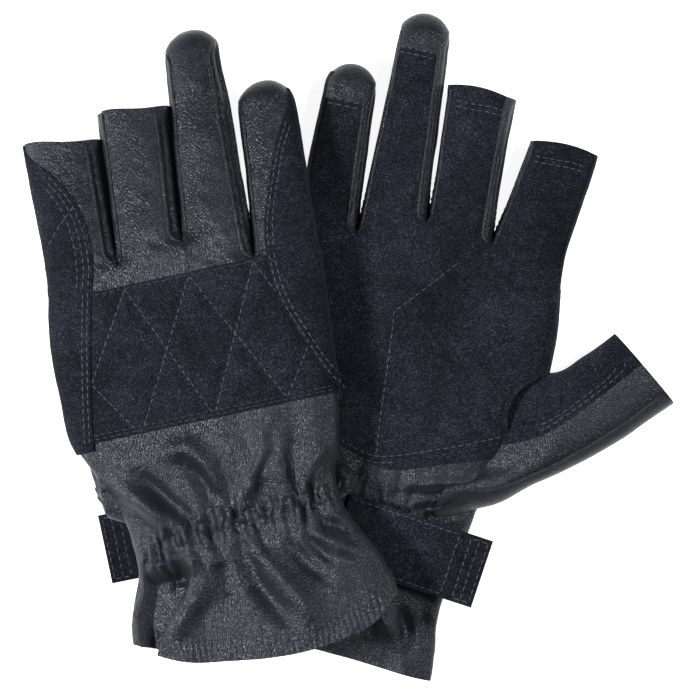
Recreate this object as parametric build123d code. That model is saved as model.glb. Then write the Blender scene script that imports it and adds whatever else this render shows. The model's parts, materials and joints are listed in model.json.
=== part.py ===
"""Pair of three-finger-cut sailing gloves lying one over the other, millimetres, +Z up.

Both gloves share one pattern, drawn in the glove's own frame: X from the index side to the little
finger, Y from wrist to fingertips, Z from palm to back. The lower glove lies palm up, the upper one
lies back up across its edge with its thumb folded under the palm.
"""

from build123d import *
import os
from math import sqrt

# Leather and thickness
WALL = 1.6  # leather with its seam allowance
SKIN = 1.2  # one layer of leather or suede
FOAM = 1.2  # foam under the quilted patch
HAND_THICK = 18.0
FINGER_THICK = 15.0
THUMB_THICK = 14.0
SEAM_INSET = 4.2  # width of the side strip seen from above a finger
HINGE_GAP = 1.3  # soft gap between the hand and a finger, each side of the hinge
CLEAR = 0.3

# Hand outline stations: y, left x, right x, thickness
HAND_END = 114.5
HAND_END_LITTLE = 105.0
LITTLE_EDGE = 29.2
LEFT_X, RIGHT_X = -57.5, 49.0  # outline where the gauntlet starts
HAND_STATIONS = [
    (44.0, LEFT_X, RIGHT_X, 18.0),
    (62.0, -57.5, 50.5, 18.0),
    (93.0, -56.0, 53.0, 18.0),
    (122.0, -54.3, 54.6, 15.6),
]
PALM_END = 14.0
GAUNTLET_TOP = 44.0
WRIST_STATIONS = [
    (44.0, LEFT_X, RIGHT_X, 18.0),
    (30.0, -51.5, 46.5, 18.0),
    (14.0, -45.5, 42.5, 17.0),
    (0.0, -43.5, 41.5, 16.5),
]

# Fingers: name, hinge y, base left x, base right x, end y, end left x, end right x, closed tip
FINGERS = [
    ("index", 116.0, -54.3, -25.4, 164.0, -54.2, -24.0, False),
    ("middle", 117.2, -24.0, 1.2, 170.0, -21.8, 6.0, False),
    ("ring", 117.2, 3.0, 28.0, 196.5, 10.0, 30.4, True),
    ("little", 107.2, 30.6, 54.2, 170.0, 34.4, 55.6, True),
]
HINGE_Z = -8.6  # finger crease height, just under the finger's palm side

# Thumb, spread to the index side
THUMB_HINGE = (-57.6, 0.0, -10.9)
THUMB_Z = -3.2  # mid height
THUMB_BASE_Y = (16.0, 63.0)
THUMB_MOUTH = ((-81.3, 87.1), (-110.4, 66.0))
THUMB_HOLE_X = -48.0
THUMB_HOLE_Y = (22.0, 58.0)
THUMB_STRIP = 15.0  # width of the leather strip along the thumb's wrist side, at its base
THUMB_SEAM_IN = -4.0  # end of its seam past the mouth's corner
THUMB_SEAM_UP = 9.0

# Back patch, palm overlay, strap
PATCH = [(-49.0, 43.5), (48.0, 44.5), (43.5, 70.0), (37.0, 102.0), (-38.0, 102.0), (-44.0, 74.0)]
FOAM_INSET = 4.0
PALM_PATCH = [(-40.0, 34.0), (-30.0, 20.0), (8.0, 17.0), (22.0, 40.0), (24.0, 78.0), (-20.0, 104.0), (-40.0, 96.0)]
PATCH_TOP = 101.5
HEM = 7.0
ELASTIC_X = (-33.0, 31.0)
ELASTIC_Y = (0.0, 8.0)
ELASTIC_THICK = 1.0
WRIST_THICK = 16.5
STRAP_WIDTH = 28.0
STRAP_THICK = 2.4
STRAP_ROOT_X = -14.5
STRAP_TAB = 14.0  # bare end of the strap, past the hook pad
PAD_THICK = 1.0
PAD_LENGTH = 21.0

# Seat of each glove on the table: origin, turn about Z, roll towards the little finger
UPPER = dict(
    name="upper", place=(-44.0, -68.8, 28.4), turn=12.0, roll=-3.8, palm_up=False,
    cuff=[(-16.0, -44.5, 49.0, 19.0), (-33.0, -50.0, 55.0, 22.0), (-52.0, -51.5, 54.0, 24.0)],
    centre_rise=[(0.0, 0.0), (-52.0, 0.6)], droop=10.0, little_flex=14.0,
    strap_end=-57.0, strap_y=0.0, strap_tilt=0.0, strap_range=85.0, thumb_turn=180.0, thumb_range=170.0,
    index_end=(164.0, -54.2, -24.0),
)
LOWER = dict(
    name="lower", place=(7.5, -59.8, 11.6), turn=-13.0, roll=0.0, palm_up=True,
    cuff=[(-16.0, -42.5, 44.0, 14.5), (-36.0, -40.0, 48.0, 13.6), (-64.0, -41.0, 50.0, 13.0)],
    centre_rise=[(30.0, 0.0), (0.0, 2.4), (-64.0, 4.2)], droop=-2.6, little_flex=40.0,
    strap_end=-51.0, strap_y=-15.5, strap_tilt=5.5, strap_range=45.0, thumb_turn=0.0, thumb_range=140.0,
    index_end=(155.5, -58.6, -31.0),
)
FINGER_FLEX = 60.0
LIFT_RANGE = 90.0


def centre_height(glove, y):
    """Height of the glove's mid line at y, from its straight-line table."""
    table = sorted(glove["centre_rise"])
    if y <= table[0][0]:
        return table[0][1]
    for (y0, z0), (y1, z1) in zip(table, table[1:]):
        if y <= y1:
            return z0 + (z1 - z0) * (y - y0) / (y1 - y0)
    return table[-1][1]


def section(y, left, right, thick, z):
    """Flattened tube section at y: a slot, its rounded ends at the sides."""
    plane = Plane(origin=((left + right) / 2, y, z), x_dir=(1, 0, 0), z_dir=(0, 1, 0))
    return plane * SlotOverall(right - left, thick)


def tube(stations, wall, closed_end=0.0):
    """Hollow tube through stations (y, left, right, thick, z), open at its first station."""
    outer = loft([section(*s) for s in stations], ruled=True)
    inner_stations = []
    for y, left, right, thick, z in stations:
        inner_stations.append((y, left + wall, right - wall, thick - 2 * wall, z))
    first, last = inner_stations[0], inner_stations[-1]
    inner_stations[0] = (first[0] - 0.5, *first[1:])
    inner_stations[-1] = (last[0] + 0.5 - closed_end, *last[1:])
    inner = loft([section(*s) for s in inner_stations], ruled=True)
    return outer - inner


def prism(points, low, high):
    """Upright block over a plan outline."""
    face = make_face(Polyline(*points, close=True))
    return Pos(0, 0, low) * extrude(face, high - low)


def box(x, y, z):
    """Block between two values on each axis."""
    return Pos((x[0] + x[1]) / 2, (y[0] + y[1]) / 2, (z[0] + z[1]) / 2) * Box(x[1] - x[0], y[1] - y[0], z[1] - z[0])


FAR = 200.0
ABOVE = (0.0, FAR)
BELOW = (-FAR, 0.0)


def fingers(glove):
    """Finger rows of one glove, with the index finger's end where that glove's index points."""
    index = (*FINGERS[0][:4], *glove["index_end"], FINGERS[0][7])
    return [index, *FINGERS[1:]]


def finger_stations(finger):
    """Stations of a finger from its hinge gap to its end, with a rounded tip if it is closed."""
    name, hinge, left0, right0, end, left1, right1, closed = finger
    start = hinge + HINGE_GAP
    half = (right1 - left1) / 2
    if not closed:
        return [(start, left0, right0, FINGER_THICK, 0.0), (end, left1, right1, FINGER_THICK - 1.0, 0.0)]
    round_start = end - half
    share = (round_start - start) / (end - start)
    left = left0 + (left1 - left0) * share
    right = right0 + (right1 - right0) * share
    stations = [
        (start, left0, right0, FINGER_THICK, 0.0),
        ((start + round_start) / 2, (left0 + left) / 2, (right0 + right) / 2, FINGER_THICK - 0.4, 0.0),
        (round_start, left, right, FINGER_THICK - 1.0, 0.0),
    ]
    centre = (left + right) / 2
    for step in (0.35, 0.62, 0.82, 0.94):
        width = half * sqrt(1 - step * step)
        thick = (FINGER_THICK - 1.0) * (1 - step**3) ** 0.5
        stations.append((round_start + half * step, centre - width, centre + width, min(thick, 1.9 * width), 0.0))
    return stations


def make_finger(finger):
    """Back strip, palm strip, side strips and, on a closed finger, the leather tip."""
    name, hinge, left0, right0, end, left1, right1, closed = finger
    shell = tube(finger_stations(finger), WALL, WALL if closed else 0.0)
    tip = (right1 - left1) * 0.6 if closed else -5.0
    side_end = end - tip
    left_line = [(left0, hinge), (left1, end)]
    right_line = [(right0, hinge), (right1, end)]

    def edge(line, y, inset):
        (xa, ya), (xb, yb) = line
        return xa + (xb - xa) * (y - ya) / (yb - ya) + inset

    low_y, cut = hinge - 2.0, SEAM_INSET
    core = [
        (edge(left_line, low_y, cut), low_y), (edge(right_line, low_y, -cut), low_y),
        (edge(right_line, side_end, -cut), side_end), (edge(left_line, side_end, cut), side_end),
    ]
    body = prism(core, -FAR, FAR)
    if closed:
        body += box((left1 - 20, right1 + 20), (side_end, end + 20), (-FAR, FAR))
    pieces = {
        f"{name}_back": shell & body & box((-FAR, FAR), (0, FAR * 2), ABOVE),
        f"{name}_sides": shell - body,
    }
    palm = shell & body & box((-FAR, FAR), (0, FAR * 2), BELOW)
    if closed:
        cap_line = end - 15.5
        cap = box((-FAR, FAR), (cap_line, FAR * 2), BELOW)
        pieces[f"{name}_tip_cap"] = palm & cap
        palm = palm - cap
    pieces[f"{name}_palm"] = palm
    return pieces


def make_thumb():
    """Thumb spread from the index side: suede palm strip, leather back and leather gusset strip."""
    (far_x, far_y), (near_x, near_y) = THUMB_MOUTH
    base_x = THUMB_HINGE[0] - CLEAR - 1.0
    base_low, base_high = THUMB_BASE_Y
    width = sqrt((far_x - near_x) ** 2 + (far_y - near_y) ** 2)
    across = Vector(far_x - near_x, far_y - near_y, 0) / width
    outward = Vector(-across.Y, across.X, 0)
    base = Vector(base_x, (base_low + base_high) / 2, THUMB_Z)
    mouth = Vector((far_x + near_x) / 2, (far_y + near_y) / 2, THUMB_Z)

    def slot(centre, along, length, thick):
        plane = Plane(origin=centre, x_dir=along, z_dir=along.cross(Vector(0, 0, 1)))
        return plane * SlotOverall(length, thick)

    def solid(inset, reach):
        thick = THUMB_THICK - 2 * inset
        ends = [
            slot(base + Vector(reach, 0, 0), Vector(0, 1, 0), base_high - base_low - 2 * inset, thick),
            slot(mouth + outward * reach, across, width - 2 * inset, thick),
        ]
        return loft(ends, ruled=True)

    shell = solid(0.0, 0.0) - solid(WALL, 0.5)
    seam_low = (near_x - THUMB_SEAM_IN, near_y + THUMB_SEAM_UP)
    suede = [(base_x + 5, base_low + THUMB_STRIP), seam_low, (far_x - 30, far_y + 40), (base_x + 5, base_high + 40)]
    suede_side = prism(suede, -FAR, FAR)
    palm_half = shell & box((-FAR, FAR), (-FAR, FAR), (-FAR, THUMB_Z))
    return {
        "thumb_back": shell & box((-FAR, FAR), (-FAR, FAR), (THUMB_Z, FAR)),
        "thumb_palm": palm_half & suede_side,
        "thumb_gusset": palm_half - suede_side,
    }


def make_hand(glove):
    """Hand shell, gauntlet, patches and everything sewn to them."""
    upper_hand = tube([(y, a, b, t, 0.0) for y, a, b, t in HAND_STATIONS], WALL)
    upper_hand -= box((-FAR, FAR), (HAND_END, FAR), (-FAR, FAR))
    upper_hand -= box((LITTLE_EDGE, FAR), (HAND_END_LITTLE, FAR), (-FAR, FAR))
    stations = sorted(WRIST_STATIONS + glove["cuff"])
    wrist = tube([(y, a, b, t, centre_height(glove, y)) for y, a, b, t in stations], WALL)
    hole = box((-FAR, THUMB_HOLE_X), THUMB_HOLE_Y, (-FAR, HAND_THICK / 2 - 5.0))
    seam = HAND_THICK * 0.5
    core = box((LEFT_X + seam, RIGHT_X - seam), (GAUNTLET_TOP, FAR), (-FAR, FAR))
    index_side = box((-FAR, LEFT_X + seam), (GAUNTLET_TOP, FAR), (-FAR, FAR))
    little_side = box((RIGHT_X - seam, FAR), (GAUNTLET_TOP, FAR), (-FAR, FAR))
    palm_half = upper_hand & core & box((-FAR, FAR), (0, FAR), BELOW)
    hand = {
        "back_panel": upper_hand & core & box((-FAR, FAR), (0, FAR), ABOVE),
        "side_wraps": Compound(children=[(upper_hand & index_side) - hole, upper_hand & little_side]),
    }
    lowest = min(y for y, *_ in glove["cuff"])
    middle = [(y, centre_height(glove, y)) for y in (lowest, 0.0, 30.0, GAUNTLET_TOP)]
    low_y, high_y = lowest - 5, GAUNTLET_TOP + 6
    profile = [(low_y, middle[0][1]), *middle, (high_y, middle[-1][1]), (high_y, 60.0), (low_y, 60.0)]
    back_half = Pos(-FAR, 0, 0) * extrude(Plane.YZ * make_face(Polyline(*profile, close=True)), 2 * FAR)
    hem = box((-FAR, FAR), (-FAR, lowest + HEM), (-FAR, FAR))
    palm_strip = (wrist - back_half) - hole
    hand["gauntlet_back"] = (wrist & back_half) - hem - hole
    hand["palm_panel"] = palm_half + (palm_strip & box((-FAR, FAR), (PALM_END, FAR), (-FAR, FAR)))
    hand["gauntlet_palm"] = palm_strip - hem - box((-FAR, FAR), (PALM_END, FAR), (-FAR, FAR))
    hand["cuff_hem"] = wrist & hem
    top = HAND_THICK / 2
    inset = []
    for x, y in PATCH:
        inset.append((x - FOAM_INSET if x > 0 else x + FOAM_INSET, y - FOAM_INSET if y > 60 else y + FOAM_INSET))
    core_x = (LEFT_X + seam + 1.0, RIGHT_X - seam - 1.0)
    core_y = (GAUNTLET_TOP + 0.5, PATCH_TOP)
    patch_area = box(core_x, core_y, (top, top + FOAM + SKIN))
    foam = prism(inset, top, top + FOAM) & patch_area
    hand["foam_pad"] = foam
    hand["quilted_patch"] = (prism(PATCH, top, top + FOAM + SKIN) & patch_area) - foam
    palm_area = box(core_x, core_y, (-top - SKIN, -top))
    hand["palm_patch"] = prism(PALM_PATCH, -top - SKIN, -top) & palm_area
    low, high = ELASTIC_Y
    rise = centre_height(glove, (low + high) / 2)
    inner = rise + WRIST_THICK / 2 - WALL - 0.8
    hand["wrist_elastic"] = box(ELASTIC_X, ELASTIC_Y, (inner - ELASTIC_THICK, inner))
    return hand


def strap_frame(glove):
    """Place of the strap: its root at the origin, running towards -X under the wrist."""
    rise = centre_height(glove, glove["strap_y"])
    return Pos(STRAP_ROOT_X, glove["strap_y"], rise) * Rot(0, 0, glove["strap_tilt"])


def strap_heights(glove):
    """Heights of the loop pad's top and foot, the hook pad's top and the strap's two faces."""
    thickest = max(row[3] for row in [WRIST_STATIONS[-1], *glove["cuff"][:2]])
    loop_top = -thickest / 2 - CLEAR
    loop_low = loop_top - PAD_THICK
    hook_top = loop_low - CLEAR
    strap_top = hook_top - PAD_THICK
    return loop_top, loop_low, hook_top, strap_top, strap_top - STRAP_THICK


def make_strap(glove):
    """Wrist strap with the hook pad sewn under its free end."""
    loop_top, loop_low, hook_top, strap_top, strap_low = strap_heights(glove)
    length = STRAP_ROOT_X - glove["strap_end"]
    half = STRAP_WIDTH / 2
    frame = strap_frame(glove)
    strap = box((-length, 0.0), (-half, half), (strap_low, strap_top))
    pad_x = -length + STRAP_TAB + 1
    hooks = box((pad_x, pad_x + PAD_LENGTH), (-half + 3, half - 3), (strap_top, hook_top))
    return {"wrist_strap": frame * strap, "strap_hook_pad": frame * hooks}


def make_loop_pad(glove):
    """Loop pad sewn to the palm side of the cuff, under the strap's hook pad."""
    loop_top, loop_low, hook_top, strap_top, strap_low = strap_heights(glove)
    pad_x = STRAP_TAB + 1 - (STRAP_ROOT_X - glove["strap_end"])
    half = STRAP_WIDTH / 2
    loops = box((pad_x, pad_x + PAD_LENGTH), (-half + 3, half - 3), (loop_low, loop_top))
    return {"strap_loop_pad": strap_frame(glove) * loops}


def seat(glove):
    """Location of the glove's frame on the table."""
    flip = Rot(0, 180, 0) if glove["palm_up"] else Rot(0, 0, 0)
    return Pos(*glove["place"]) * Rot(0, 0, glove["turn"]) * flip * Rot(0, glove["roll"], 0)


def hinges(glove):
    """Joint name, point, axis and limits in the glove's frame; positive turns towards the palm."""
    rows = []
    for name, hinge, left0, right0, end, left1, right1, closed in fingers(glove):
        flex = glove["little_flex"] if name == "little" else FINGER_FLEX
        rows.append((name, ((left0 + right0) / 2, hinge, HINGE_Z), (-1, 0, 0), flex))
    low = THUMB_BASE_Y[0]
    rows.append(("thumb", (THUMB_HINGE[0], low, THUMB_HINGE[2]), (0, -1, 0), glove["thumb_range"]))
    frame = strap_frame(glove) * Pos(0, 0, strap_heights(glove)[3])
    along = frame * Pos(0, 1, 0)
    point, tip = frame.position, along.position
    rows.append(("strap", tuple(point), tuple(point - tip), glove["strap_range"]))
    return rows


def make_glove(glove):
    """Every piece of one glove, seated on the table: body name to {node: shape}."""
    bodies = {"hand": make_hand(glove)}
    bodies["hand"].update(make_loop_pad(glove))
    for finger in fingers(glove):
        name, hinge = finger[0], finger[1]
        turn = Pos(0, hinge, HINGE_Z) * Rot(-glove["droop"], 0, 0) * Pos(0, -hinge, -HINGE_Z)
        bodies[name] = {node: turn * shape for node, shape in make_finger(finger).items()}
    x, _, z = THUMB_HINGE
    fold = Pos(x, 0, z) * Rot(0, glove["thumb_turn"], 0) * Pos(-x, 0, -z)
    bodies["thumb"] = {node: fold * shape for node, shape in make_thumb().items()}
    bodies["strap"] = make_strap(glove)
    where = seat(glove)
    seated = {}
    for body, nodes in bodies.items():
        seated[f"{glove['name']}_{body}"] = {f"{glove['name']}_{n}": where * s for n, s in nodes.items()}
    return seated


def make_pair():
    """Both gloves, moved so that the origin is the centre of the pair's footprint."""
    bodies = {}
    for glove in (LOWER, UPPER):
        bodies.update(make_glove(glove))
    shapes = [s for nodes in bodies.values() for s in nodes.values()]
    bounds = Compound(children=[s for shape in shapes for s in shape.solids()]).bounding_box()
    shift = Pos(-(bounds.min.X + bounds.max.X) / 2, -(bounds.min.Y + bounds.max.Y) / 2, -bounds.min.Z)
    for nodes in bodies.values():
        for node in nodes:
            nodes[node] = shift * nodes[node]
    return bodies, shift


def main():
    os.makedirs("parts", exist_ok=True)
    bodies, shift = make_pair()
    for nodes in bodies.values():
        for node, shape in nodes.items():
            solids = shape.solids()
            export_step(solids[0] if len(solids) == 1 else Compound(children=solids), f"parts/{node}.step")
    print("nodes", sum(len(nodes) for nodes in bodies.values()), "shift", shift.position)


if __name__ == "__main__":
    main()
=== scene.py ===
"""Pair of sailing gloves: one back up, one palm up beneath it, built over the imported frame."""
import json
import math

import bmesh
import bpy
import numpy as np
from mathutils import Matrix, Vector


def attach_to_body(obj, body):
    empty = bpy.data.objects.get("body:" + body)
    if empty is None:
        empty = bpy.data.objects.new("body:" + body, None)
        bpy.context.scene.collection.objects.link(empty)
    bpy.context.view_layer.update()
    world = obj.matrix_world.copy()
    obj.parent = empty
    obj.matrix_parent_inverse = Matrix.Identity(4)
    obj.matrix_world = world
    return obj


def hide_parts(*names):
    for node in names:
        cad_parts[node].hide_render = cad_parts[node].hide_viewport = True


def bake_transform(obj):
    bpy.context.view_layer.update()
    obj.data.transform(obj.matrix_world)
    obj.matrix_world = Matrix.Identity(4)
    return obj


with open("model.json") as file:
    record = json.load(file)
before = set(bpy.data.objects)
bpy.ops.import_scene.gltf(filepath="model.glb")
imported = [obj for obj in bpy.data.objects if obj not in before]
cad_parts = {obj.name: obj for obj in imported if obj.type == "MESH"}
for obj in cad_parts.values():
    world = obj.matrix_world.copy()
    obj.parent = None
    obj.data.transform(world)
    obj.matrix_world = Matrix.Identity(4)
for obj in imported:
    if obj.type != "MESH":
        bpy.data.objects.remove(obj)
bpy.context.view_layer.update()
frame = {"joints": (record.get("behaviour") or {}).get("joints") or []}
MM = 0.001
HIDE = 1.2  # thickness of leather and suede, millimetres
rng = np.random.default_rng(7)


# ---------------------------------------------------------------- small maths
def smooth(a, b, v):
    t = np.clip((np.asarray(v, float) - a) / (b - a), 0.0, 1.0)
    return t * t * (3 - 2 * t)


def table(points, y):
    """Value of (y, value) points at y, in straight lines."""
    points = sorted(points)
    return np.interp(y, [p[0] for p in points], [p[1] for p in points])


def curve(points, x):
    """Smooth line through (x, value) points, sorted by x."""
    pts = sorted(points)
    xs = np.array([p[0] for p in pts], float)
    ys = np.array([p[1] for p in pts], float)
    slopes = np.gradient(ys, xs)
    x = np.clip(np.asarray(x, float), xs[0], xs[-1])
    i = np.clip(np.searchsorted(xs, x) - 1, 0, len(xs) - 2)
    h = xs[i + 1] - xs[i]
    t = (x - xs[i]) / h
    a, b = ys[i], ys[i + 1]
    return ((1 + 2 * t) * (1 - t) ** 2 * a + t * (1 - t) ** 2 * h * slopes[i]
            + t * t * (3 - 2 * t) * b + t * t * (t - 1) * h * slopes[i + 1])


HASH = np.array([374761393, 668265263, 1440662683])  # primes that scatter a lattice cell's number
HASH_SEED, HASH_MIX, HASH_BITS = 974634777, 1274126177, 0xFFFFFFFF


def noise(p, size, seed=0):
    """Smooth noise of about -1 to 1 at points p (..., 3)."""
    q = np.asarray(p, float) / size
    cell = np.floor(q).astype(np.int64)
    f = q - cell
    f = f * f * (3 - 2 * f)
    out = 0.0
    for corner in range(8):
        d = np.array([corner & 1, corner >> 1 & 1, corner >> 2 & 1])
        n = ((cell + d) @ HASH + seed * HASH_SEED) & HASH_BITS
        n = ((n ^ (n >> 13)) * HASH_MIX) & HASH_BITS
        n = (n ^ (n >> 16)) & 0xFFFF
        w = np.prod(np.where(d == 1, f, 1 - f), axis=-1)
        out = out + w * (n / 32767.5 - 1.0)
    return out


def flat3(x, y, z=0.0):
    return np.stack(np.broadcast_arrays(x, y, z), axis=-1).astype(float)


def to_line(x, y, points):
    """Distance from (x, y) to a polyline, and the share of its length at the nearest place."""
    pts = np.array(points, float)
    best = np.full(np.shape(x), 1e9)
    share = np.zeros(np.shape(x))
    lengths = np.hypot(*(pts[1:] - pts[:-1]).T)
    total = lengths.sum()
    done = 0.0
    for a, b, length in zip(pts[:-1], pts[1:], lengths):
        d = (b - a) / length
        t = np.clip((x - a[0]) * d[0] + (y - a[1]) * d[1], 0, length)
        dist = np.hypot(x - a[0] - d[0] * t, y - a[1] - d[1] * t)
        near = dist < best
        best = np.where(near, dist, best)
        share = np.where(near, (done + t) / total, share)
        done += length
    return best, share


def resample(line, step, least):
    """x and y of evenly spaced points along a line."""
    pts = np.array(line, float)
    run = np.concatenate([[0], np.cumsum(np.hypot(*np.diff(pts, axis=0).T))])
    at = np.linspace(0, run[-1], max(least, int(run[-1] / step)))
    return np.interp(at, run, pts[:, 0]), np.interp(at, run, pts[:, 1])


def ribbon(x, y, reach):
    """Three points across each point of a line, so that a surface under it has normals."""
    dx, dy = np.gradient(x), np.gradient(y)
    length = np.maximum(np.hypot(dx, dy), 1e-9)
    off = np.array([-reach, 0.0, reach])
    return x[:, None] + (dy / length)[:, None] * off, y[:, None] - (dx / length)[:, None] * off


def normals(p):
    """Unit normals of a grid of points, rows along the first axis."""
    n = np.cross(np.gradient(p, axis=1), np.gradient(p, axis=0))
    length = np.linalg.norm(n, axis=-1, keepdims=True)
    n = n / np.maximum(length, 1e-9)
    n[length[..., 0] < 1e-9] = (0.0, 1.0, 0.0)
    return n


def outward(p, side):
    """Unit normals of a grid turned away from the mid plane, and whether its faces need turning."""
    n = normals(p)
    sign = 1.0 if np.sum(n[..., 2] * side * np.abs(n[..., 2])) >= 0 else -1.0
    return n * sign, sign < 0


# ---------------------------------------------------------------- the pattern, millimetres
# X from the index side to the little finger, Y from wrist to fingertips, Z from palm to back.
HAND_END = 103.0
PATCH_TOP = 101.5
PATCH_FOOT = 43.0
TUCK = 1.5  # finger panels start this far back, just under the hand's panels
HINGE_Z = -8.6
CROTCH = [(-25.0, 113.3), (2.2, 116.1), (28.9, 104.8)]
# finger: end y, end left x, end right x, half thickness, closed, back insets, palm insets, hinge y
FINGERS = {
    "index": (164.0, -54.2, -24.0, 7.5, False, (0.0, 4.6), (0.0, 1.6), 116.0),
    "middle": (170.0, -21.8, 6.4, 7.5, False, (1.7, 4.8), (4.4, 1.6), 117.2),
    "ring": (196.5, 10.0, 30.4, 7.3, True, (1.7, 4.4), (4.4, 1.6), 117.2),
    "little": (170.0, 34.4, 55.6, 7.2, True, (1.7, 0.0), (4.4, 0.0), 107.2),
}
NAMES = list(FINGERS)
HINGE_X = {"index": -39.85, "middle": -11.4, "ring": 15.5, "little": 42.4}
# outline of the hand and cuff: (y, x) on both sides, and (y, half thickness)
LEFT = [(-70, -50.0), (-52, -51.5), (-25, -49.0), (-14, -44.5), (0, -43.5), (15, -45.5), (30, -52.0),
        (44, -58.0), (62, -58.6), (83, -58.0), (100, -55.6), (112, -54.5), (150, -54.3), (175, -54.0)]
RIGHT = [(-70, 57.0), (-52, 56.0), (-33, 55.5), (-17, 49.5), (-6, 43.6), (10, 41.0), (25, 45.8),
         (39, 48.8), (60, 50.5), (93, 53.0), (124, 54.6), (150, 55.4), (175, 55.6)]
HALF = [(44, 9.0), (93, 9.0), (122, 8.0), (175, 7.4)]

# Each glove: its own outline; droop of the fingers in degrees; rise of the mid plane; hem line (x, y);
# touch, how far the strips beside each crotch overlap; slope of the open mouths; end of the index.
GLOVES = {
    "upper": dict(
        left=LEFT, right=RIGHT,
        droop=10.0, rise=[(-70, 0.6), (-52, 0.6), (0, 0.0), (200, 0.0)],
        half=[(-60, 12.2), (-52, 12.0), (-33, 11.0), (-16, 9.3), (0, 8.2), (14, 8.5), (30, 8.9), *HALF],
        hem=[(-60, -37.0), (-52, -38.0), (-41, -44.5), (-28, -49.5), (-15, -51.5), (0, -53.4),
             (15, -54.0), (32, -52.0), (46, -48.0), (56, -40.0), (62, -38.0)],
        touch=(1.5, 1.2, 0.75), seed=3, slope={"index": 4.0, "middle": 2.6},
        index_end=(164.0, -54.2, -24.0),
    ),
    "lower": dict(
        left=[(-80, -40.5), (-64, -41.0), (-36, -38.0), (-14, -41.5), (0, -43.0),
              *[r for r in LEFT if 10 < r[0] < 112], (112, -54.9), (130, -56.4), (150, -58.3), (175, -59.5)],
        right=[(-80, 50.0), (-64, 50.0), (-36, 48.0), (-16, 44.0), (0, 41.5),
               *[r for r in RIGHT if 5 < r[0] < 120], (124, 53.8), (150, 54.2), (175, 54.4)],
        droop=-2.6, rise=[(-80, 4.2), (-64, 4.2), (0, 2.4), (30, 0.0), (200, 0.0)],
        half=[(-80, 6.4), (-64, 6.4), (-36, 6.8), (-16, 7.3), (0, 8.1), (14, 8.5), (30, 8.9), *HALF],
        hem=[(-60, -66.5), (-39, -66.3), (0, -64.0), (60, -63.0)],
        touch=(0.3, 0.0, 0.3), seed=11, slope={},
        index_end=(155.5, -58.6, -31.0),
    ),
}


def seat(glove):
    """The glove's frame in the row frame, from the index hinge that the record holds."""
    joint = next(j for j in frame["joints"] if j["name"] == f"{glove}_index_flex")
    turn, roll = (12.0, -3.8) if glove == "upper" else (-13.0, 0.0)
    r = Matrix.Rotation(math.radians(turn), 4, "Z")
    if glove == "lower":
        r = r @ Matrix.Rotation(math.pi, 4, "Y")
    r = r @ Matrix.Rotation(math.radians(roll), 4, "Y")
    hinge = Vector((HINGE_X["index"], FINGERS["index"][7], HINGE_Z)) * MM
    return Matrix.Translation(Vector(joint["pos_m"]) - r @ hinge) @ r


for _name, _glove in GLOVES.items():
    _glove["name"] = _name
    _glove["seat"] = np.array(seat(_name))


def to_row(glove, p):
    """Local millimetres to row-frame metres."""
    m = glove["seat"]
    return (p * MM) @ m[:3, :3].T + m[:3, 3]


def middle_line(glove, p, flip):
    """Row-frame points and unit normals down the middle of a ribbon."""
    q = to_row(glove, p)
    n = normals(q)[:, 1] * (-1 if flip else 1)
    return q[:, 1], n / np.linalg.norm(n, axis=-1, keepdims=True)


def finger_row(glove, name):
    """The finger's row, with the index finger's end where this glove's index points."""
    return (*glove["index_end"], *FINGERS[name][3:]) if name == "index" else FINGERS[name]


def edges(glove, y):
    return curve(glove["left"], y), curve(glove["right"], y)


def arch(distance_left, distance_right, half, order):
    """Height of a puffed section at its distances from both edges."""
    width = np.maximum(distance_left + distance_right, 1e-6)
    u = np.clip(np.abs(distance_left - distance_right) / width, 0, 1)
    return half * (1 - u**order) ** (1 / order)


def webbing(glove, k, y):
    """How far the side strips beside a crotch reach past each other, in millimetres."""
    cy = CROTCH[k][1]
    return smooth(cy - 4.0, cy, y) * (np.exp(-np.maximum(y - cy, 0) / 7.0) + glove["touch"][k])


def tip_start(end, end_left, end_right):
    """y at which a closed fingertip starts to round over."""
    return end - (end_right - end_left) / 2 * 1.05


def finger_edges(glove, name, y):
    """Left and right edge of a finger at y, and its half thickness there."""
    i = NAMES.index(name)
    end, end_left, end_right, half, closed, *_ = finger_row(glove, name)
    y = np.asarray(y, float)
    outline_left, outline_right = edges(glove, y)

    def side(k, end_x, swell):
        cx, cy = CROTCH[k]
        return np.where(y < cy, cx, cx + (end_x - cx) * (y - cy) / (end - cy)) + webbing(glove, k, y) * swell

    left = side(i - 1, end_left, -1.0) if i else outline_left
    right = side(i, end_right, 1.0) if i < 3 else outline_right
    if closed:
        start = tip_start(end, end_left, end_right)
        tip = np.clip((y - start) / (end - start), 0, 1)
        shrink = np.sqrt(np.maximum(1 - tip**2.2, 0.0))
        middle = (left + right) / 2
        left = middle + (left - middle) * shrink
        right = middle + (right - middle) * shrink
        half = half * np.sqrt(np.maximum(1 - tip**2.6, 0.0))
    return left, right, half


def height(glove, x, y, finger=None):
    """Distance of the outer leather from the mid plane at (x, y)."""
    left, right = edges(glove, y)
    order = 2.5 + 0.5 * smooth(-10, 44, y)
    hand = arch(np.maximum(x - left, 0), np.maximum(right - x, 0), table(glove["half"], y), order)
    if finger:
        return hand_to_finger(glove, hand, x, y, finger)
    out = hand
    for i, name in enumerate(NAMES):
        inside = np.ones(np.shape(x), bool)
        if i:
            inside &= x >= CROTCH[i - 1][0]
        if i < 3:
            inside &= x < CROTCH[i][0]
        out = np.where(inside, hand_to_finger(glove, hand, x, y, name), out)
    return out


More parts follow.
